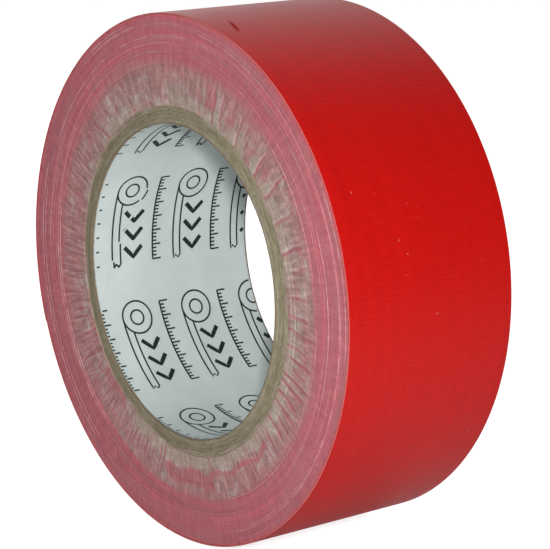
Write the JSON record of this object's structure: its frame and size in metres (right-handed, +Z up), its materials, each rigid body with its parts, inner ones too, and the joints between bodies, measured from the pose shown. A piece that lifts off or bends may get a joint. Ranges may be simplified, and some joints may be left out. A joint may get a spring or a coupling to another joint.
{
  "type": "adhesive tape roll",
  "caption": "Roll of red cloth-backed adhesive tape wound on a paper core with a printed liner, standing on its rim; the loose end of the tape peels up.",
  "frame": {"origin": "centre of the roll, on its axis and halfway across the tape's width", "axes": "+Y along the roll's axis, away from the face on which the tape winds outwards anticlockwise; +Z up; the roll stands on its rim at -Z"},
  "size_m": [0.1284, 0.048, 0.1283],
  "materials": {
    "liner_paper": "printed uncoated paper",
    "core_board": "raw grey-brown board, cut edge",
    "kraft_cover": "raw kraft paper",
    "tape_edge": "slit edge of many turns, fine concentric layers",
    "tape_film": "satin polyethylene film over a cloth weave",
    "tape_cloth": "open cotton gauze",
    "tape_adhesive": "tacky natural-rubber adhesive"
  },
  "bodies": {
    "roll": {"core_liner": "liner_paper", "core_ply_1": "core_board", "core_ply_2": "core_board", "core_ply_3": "core_board", "core_ply_4": "core_board", "core_cover": "kraft_cover", "wound_tape": "tape_edge", "outer_turn_film": "tape_film", "outer_turn_cloth": "tape_cloth", "outer_turn_adhesive": "tape_adhesive"},
    "tape_end_1": {"tape_end_1": "tape_film"},
    "tape_end_2": {"tape_end_2": "tape_film"},
    "tape_end_3": {"tape_end_3": "tape_film"},
    "tape_end_4": {"tape_end_4": "tape_film"},
    "tape_end_5": {"tape_end_5": "tape_film"},
    "tape_end_6": {"tape_end_6": "tape_film"}
  },
  "joints": [
    {"name": "tape_end_peel", "type": "hinge", "parent": "roll", "child": "tape_end_1", "pos_m": [-0.04922, 0, 0.0413], "axis": [0, 1, 0], "range_deg": [0, 75]},
    {"name": "tape_bend_2", "type": "hinge", "parent": "tape_end_1", "child": "tape_end_2", "pos_m": [-0.05565, 0, 0.03213], "axis": [0, 1, 0], "range_deg": [0, 12]},
    {"name": "tape_bend_3", "type": "hinge", "parent": "tape_end_2", "child": "tape_end_3", "pos_m": [-0.06039, 0, 0.02198], "axis": [0, 1, 0], "range_deg": [0, 12]},
    {"name": "tape_bend_4", "type": "hinge", "parent": "tape_end_3", "child": "tape_end_4", "pos_m": [-0.0633, 0, 0.01116], "axis": [0, 1, 0], "range_deg": [0, 12]},
    {"name": "tape_bend_5", "type": "hinge", "parent": "tape_end_4", "child": "tape_end_5", "pos_m": [-0.06428, 0, 0], "axis": [0, 1, 0], "range_deg": [0, 12]},
    {"name": "tape_bend_6", "type": "hinge", "parent": "tape_end_5", "child": "tape_end_6", "pos_m": [-0.06331, 0, -0.01116], "axis": [0, 1, 0], "range_deg": [0, 12]}
  ],
  "couplings": [
    {"joint": "tape_bend_2", "follows": "tape_end_peel", "ratio": 0.16},
    {"joint": "tape_bend_3", "follows": "tape_end_peel", "ratio": 0.16},
    {"joint": "tape_bend_4", "follows": "tape_end_peel", "ratio": 0.16},
    {"joint": "tape_bend_5", "follows": "tape_end_peel", "ratio": 0.16},
    {"joint": "tape_bend_6", "follows": "tape_end_peel", "ratio": 0.16}
  ]
}
